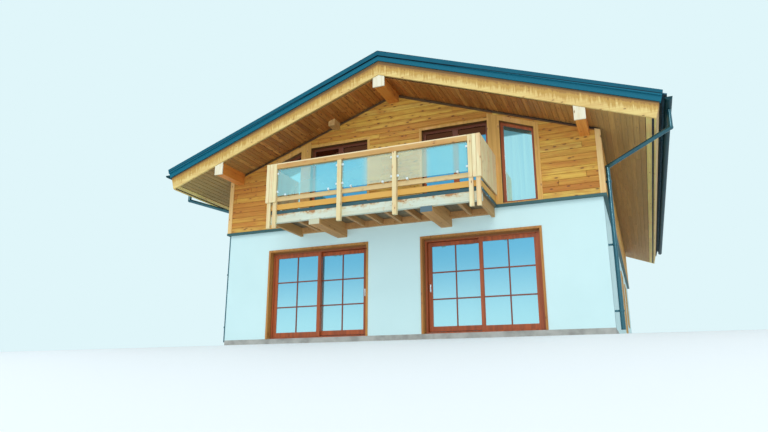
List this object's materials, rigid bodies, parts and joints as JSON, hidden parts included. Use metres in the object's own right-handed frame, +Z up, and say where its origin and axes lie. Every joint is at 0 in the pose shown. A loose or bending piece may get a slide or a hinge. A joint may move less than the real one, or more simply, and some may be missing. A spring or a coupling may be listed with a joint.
{
  "type": "alpine chalet",
  "caption": "Two-storey chalet with white rendered ground storey, timber-clad upper storey, wide gable roof, front balcony and sliding terrace doors.",
  "frame": {"origin": "on the ground at the centre of the rendered walls' footprint", "axes": "+X to the right seen from the front, +Y from the balcony gable to the rear, +Z up"},
  "size_m": [12.097, 16.21, 6.6333],
  "materials": {
    "concrete": "smooth grey concrete plinth",
    "render": "fine white render",
    "interior_timber": "plain planed boards",
    "cladding": "knotty horizontal boards, ochre glaze",
    "pale_timber": "planed pale softwood",
    "beam_timber": "planed softwood beams, honey glaze",
    "soffit_timber": "brown glazed boards",
    "weathered_timber": "whitish weathered softwood",
    "red_timber": "red-brown stained window timber, satin",
    "roof_metal": "folded sheet, coated dark teal, satin",
    "gutter_metal": "coated dark teal, satin",
    "window_glass": "clear, reflective",
    "rail_glass": "milky, semi-clear",
    "steel": "satin"
  },
  "bodies": {
    "house": {"ground_slab": "concrete", "front_wall_left": "render", "front_wall_middle": "render", "front_wall_right": "render", "front_wall_lintel": "render", "left_wall": "render", "right_wall": "render", "rear_wall": "render", "upper_floor": "interior_timber", "front_gable_wall": "cladding", "rear_gable_wall": "cladding", "left_upper_wall": "cladding", "right_upper_wall": "cladding", "storey_flashing": "roof_metal", "corner_boards": "pale_timber", "roof_left": "soffit_timber", "roof_right": "soffit_timber", "roof_metal_left": "roof_metal", "roof_metal_right": "roof_metal", "ridge_cap": "roof_metal", "verge_trim": "roof_metal", "eave_flashing": "roof_metal", "eave_boards": "pale_timber", "barge_boards": "pale_timber", "ridge_purlin": "beam_timber", "eave_purlins": "beam_timber", "short_purlin": "beam_timber", "purlin_caps": "pale_timber", "gutter_left": "gutter_metal", "gutter_right": "gutter_metal", "downpipe_left": "gutter_metal", "downpipe_right": "gutter_metal", "door_linings": "beam_timber", "left_door_frame": "red_timber", "right_door_frame": "red_timber", "left_fixed_leaf": "red_timber", "right_fixed_leaf": "red_timber", "fixed_leaf_glass": "window_glass", "entrance_door": "red_timber", "upper_casings": "pale_timber", "upper_frames": "red_timber", "window_casings": "beam_timber", "window_frames": "red_timber", "window_glass": "window_glass", "cantilever_beams": "beam_timber", "balcony_joists": "soffit_timber", "balcony_edge_beams": "weathered_timber", "balcony_floor": "soffit_timber", "balcony_metal": "roof_metal", "balcony_posts": "pale_timber", "balcony_rails": "pale_timber", "balcony_panels": "pale_timber", "balcony_glass": "rail_glass", "glass_clips": "steel"},
    "left_leaf": {"left_sliding_leaf": "red_timber", "left_sliding_glass": "window_glass", "left_door_handle": "steel"},
    "right_leaf": {"right_sliding_leaf": "red_timber", "right_sliding_glass": "window_glass", "right_door_handle": "steel"}
  },
  "joints": [
    {"name": "left_leaf_slide", "type": "slide", "parent": "house", "child": "left_leaf", "axis": [-1, 0, 0], "range_m": [0, 1.1]},
    {"name": "right_leaf_slide", "type": "slide", "parent": "house", "child": "right_leaf", "axis": [1, 0, 0], "range_m": [0, 1.1]}
  ]
}
